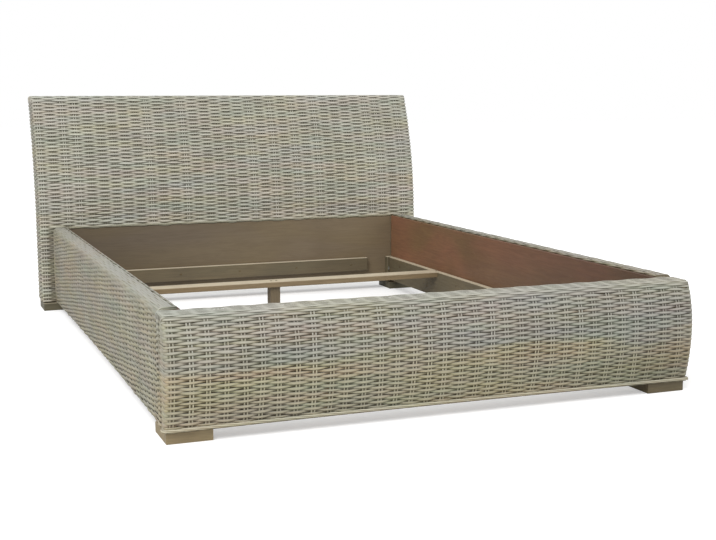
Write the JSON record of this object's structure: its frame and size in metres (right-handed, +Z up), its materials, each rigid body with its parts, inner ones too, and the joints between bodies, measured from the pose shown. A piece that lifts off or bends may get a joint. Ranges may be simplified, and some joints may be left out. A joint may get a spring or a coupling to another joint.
{
  "type": "rattan bed frame",
  "caption": "Low double bed frame of woven rattan shells over timber formers, with a curved-back headboard, a bulged footboard, ledgers, cross beams and block feet.",
  "frame": {"origin": "middle of the bed's footprint, on the floor", "axes": "+X to the right seen from the foot, +Y towards the headboard, +Z up"},
  "size_m": [1.676, 2.3948, 0.877],
  "materials": {
    "rattan_weave": "grey-washed woven rattan cane, matt",
    "rail_board": "red-brown stained board, satin",
    "head_panel": "grey-brown stained panel, satin",
    "frame_timber": "sawn hardwood, unfinished",
    "support_timber": "planed hardwood, lightly stained",
    "block_feet": "olive-brown stained hardwood",
    "bolt_steel": "zinc plated",
    "glide_plastic": "black moulded plastic"
  },
  "bodies": {
    "root": {"headboard_weave": "rattan_weave", "footboard_weave": "rattan_weave", "side_rail_weave_left": "rattan_weave", "side_rail_weave_right": "rattan_weave", "footboard_braid": "rattan_weave", "side_rail_board_left": "rail_board", "side_rail_board_right": "rail_board", "footboard_board": "rail_board", "head_panel": "head_panel", "headboard_post_left": "frame_timber", "headboard_post_right": "frame_timber", "headboard_former_1": "frame_timber", "headboard_former_2": "frame_timber", "headboard_former_3": "frame_timber", "headboard_bottom_rail": "frame_timber", "headboard_middle_rail": "frame_timber", "headboard_upper_rail": "frame_timber", "headboard_top_rail": "frame_timber", "footboard_top_batten": "frame_timber", "footboard_bottom_batten": "frame_timber", "footboard_former_1": "frame_timber", "footboard_former_2": "frame_timber", "footboard_former_3": "frame_timber", "footboard_former_4": "frame_timber", "footboard_former_5": "frame_timber", "footboard_former_6": "frame_timber", "footboard_former_7": "frame_timber", "side_rail_rib_left_1": "frame_timber", "side_rail_rib_left_2": "frame_timber", "side_rail_rib_left_3": "frame_timber", "side_rail_rib_left_4": "frame_timber", "side_rail_rib_right_1": "frame_timber", "side_rail_rib_right_2": "frame_timber", "side_rail_rib_right_3": "frame_timber", "side_rail_rib_right_4": "frame_timber", "ledger_left": "support_timber", "ledger_right": "support_timber", "ledger_head": "support_timber", "ledger_foot": "support_timber", "cross_beam_head": "support_timber", "cross_beam_foot": "support_timber", "centre_leg_head": "support_timber", "centre_leg_foot": "support_timber", "corner_cleat_head_left": "support_timber", "corner_cleat_head_right": "support_timber", "corner_cleat_foot_left": "support_timber", "corner_cleat_foot_right": "support_timber", "foot_front_left": "block_feet", "foot_front_right": "block_feet", "foot_head_left": "block_feet", "foot_head_right": "block_feet", "bed_bolt_head_left": "bolt_steel", "bed_bolt_head_right": "bolt_steel", "bed_bolt_foot_left": "bolt_steel", "bed_bolt_foot_right": "bolt_steel", "leg_glide_head": "glide_plastic", "leg_glide_foot": "glide_plastic"}
  },
  "joints": []
}
